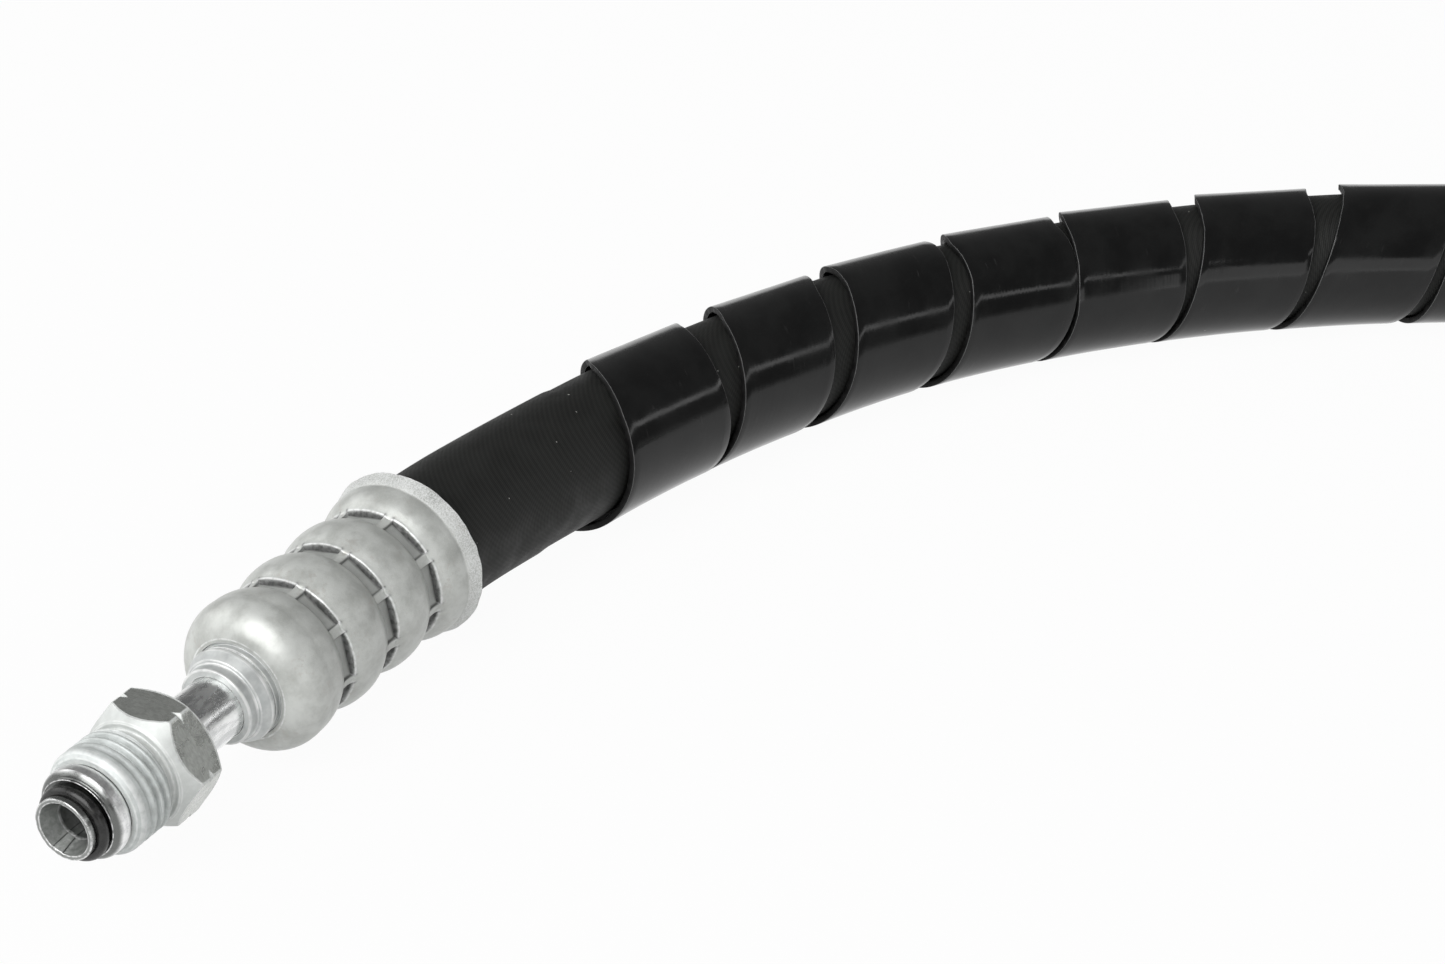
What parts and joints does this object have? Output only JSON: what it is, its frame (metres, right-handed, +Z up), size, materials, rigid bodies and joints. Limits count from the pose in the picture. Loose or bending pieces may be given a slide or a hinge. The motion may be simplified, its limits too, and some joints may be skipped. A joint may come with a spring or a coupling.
{
  "type": "hydraulic hose assembly",
  "caption": "Reinforced hydraulic hose with a crimped ferrule, steel tube end, O-ring and free-turning tube nut at each end, wrapped in a black spiral guard.",
  "frame": {"origin": "centre of end A's tip face, on the axis of its steel tube", "axes": "+X along end A's axis into the hose, +Z up from the ground that the hose lies on"},
  "size_m": [0.3127, 0.3493, 0.0264],
  "materials": {
    "plated_steel": "satin",
    "bright_tube": "polished",
    "seal": "matt",
    "hose_rubber": "matt",
    "steel_braid": "satin",
    "guard_plastic": "gloss"
  },
  "bodies": {
    "hose_line": {"end_tube_a": "bright_tube", "o_ring_a": "seal", "hose_stem_a": "plated_steel", "ferrule_a": "plated_steel", "end_tube_b": "bright_tube", "o_ring_b": "seal", "hose_stem_b": "plated_steel", "ferrule_b": "plated_steel", "inner_tube": "hose_rubber", "inner_braid": "steel_braid", "friction_layer": "hose_rubber", "outer_braid": "steel_braid", "cover": "hose_rubber", "spiral_guard": "guard_plastic"},
    "nut_a": {"tube_nut_a": "plated_steel"},
    "nut_b": {"tube_nut_b": "plated_steel"}
  },
  "joints": [
    {"name": "nut_spin_a", "type": "hinge", "parent": "hose_line", "child": "nut_a", "pos_m": [0.01466, 0, 0], "axis": [1, 0, 0], "continuous": true},
    {"name": "nut_spin_b", "type": "hinge", "parent": "hose_line", "child": "nut_b", "pos_m": [0.30304, -0.32117, 0], "axis": [-0.0748, 0.9972, 0], "continuous": true}
  ]
}
